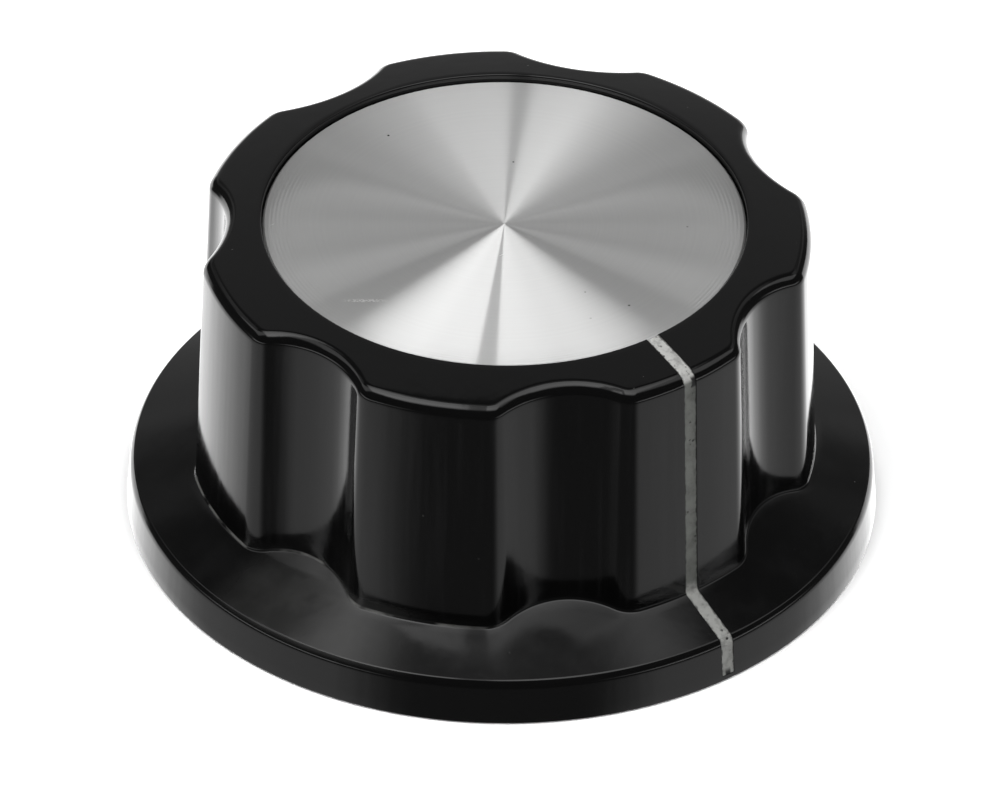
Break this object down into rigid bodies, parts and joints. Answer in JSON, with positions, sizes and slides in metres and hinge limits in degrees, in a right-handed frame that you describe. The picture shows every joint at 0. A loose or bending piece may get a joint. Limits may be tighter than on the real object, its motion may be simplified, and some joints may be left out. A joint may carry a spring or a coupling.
{
  "type": "adjustment knob",
  "caption": "Fluted control knob on a flared skirt, with a turned metal cap disc, a filled pointer line and a bushed bore for a plain shaft.",
  "frame": {"origin": "on the shaft axis, at the panel side where the skirt's rim stands", "axes": "+Z along the shaft axis towards the cap disc, -Y towards the pointer line, +X to the right when the pointer faces the viewer"},
  "size_m": [0.038, 0.038, 0.0174],
  "materials": {
    "phenolic": "glossy black moulding",
    "turned_aluminium": "fine concentric turning",
    "line_paint": "matt off-white filler paint",
    "brass": "machined",
    "screw_steel": "dark oiled steel"
  },
  "bodies": {
    "root": {"knob_body": "phenolic", "cap_disc": "turned_aluminium", "pointer_line": "line_paint", "shaft_bush": "brass", "set_screw": "screw_steel"}
  },
  "joints": []
}
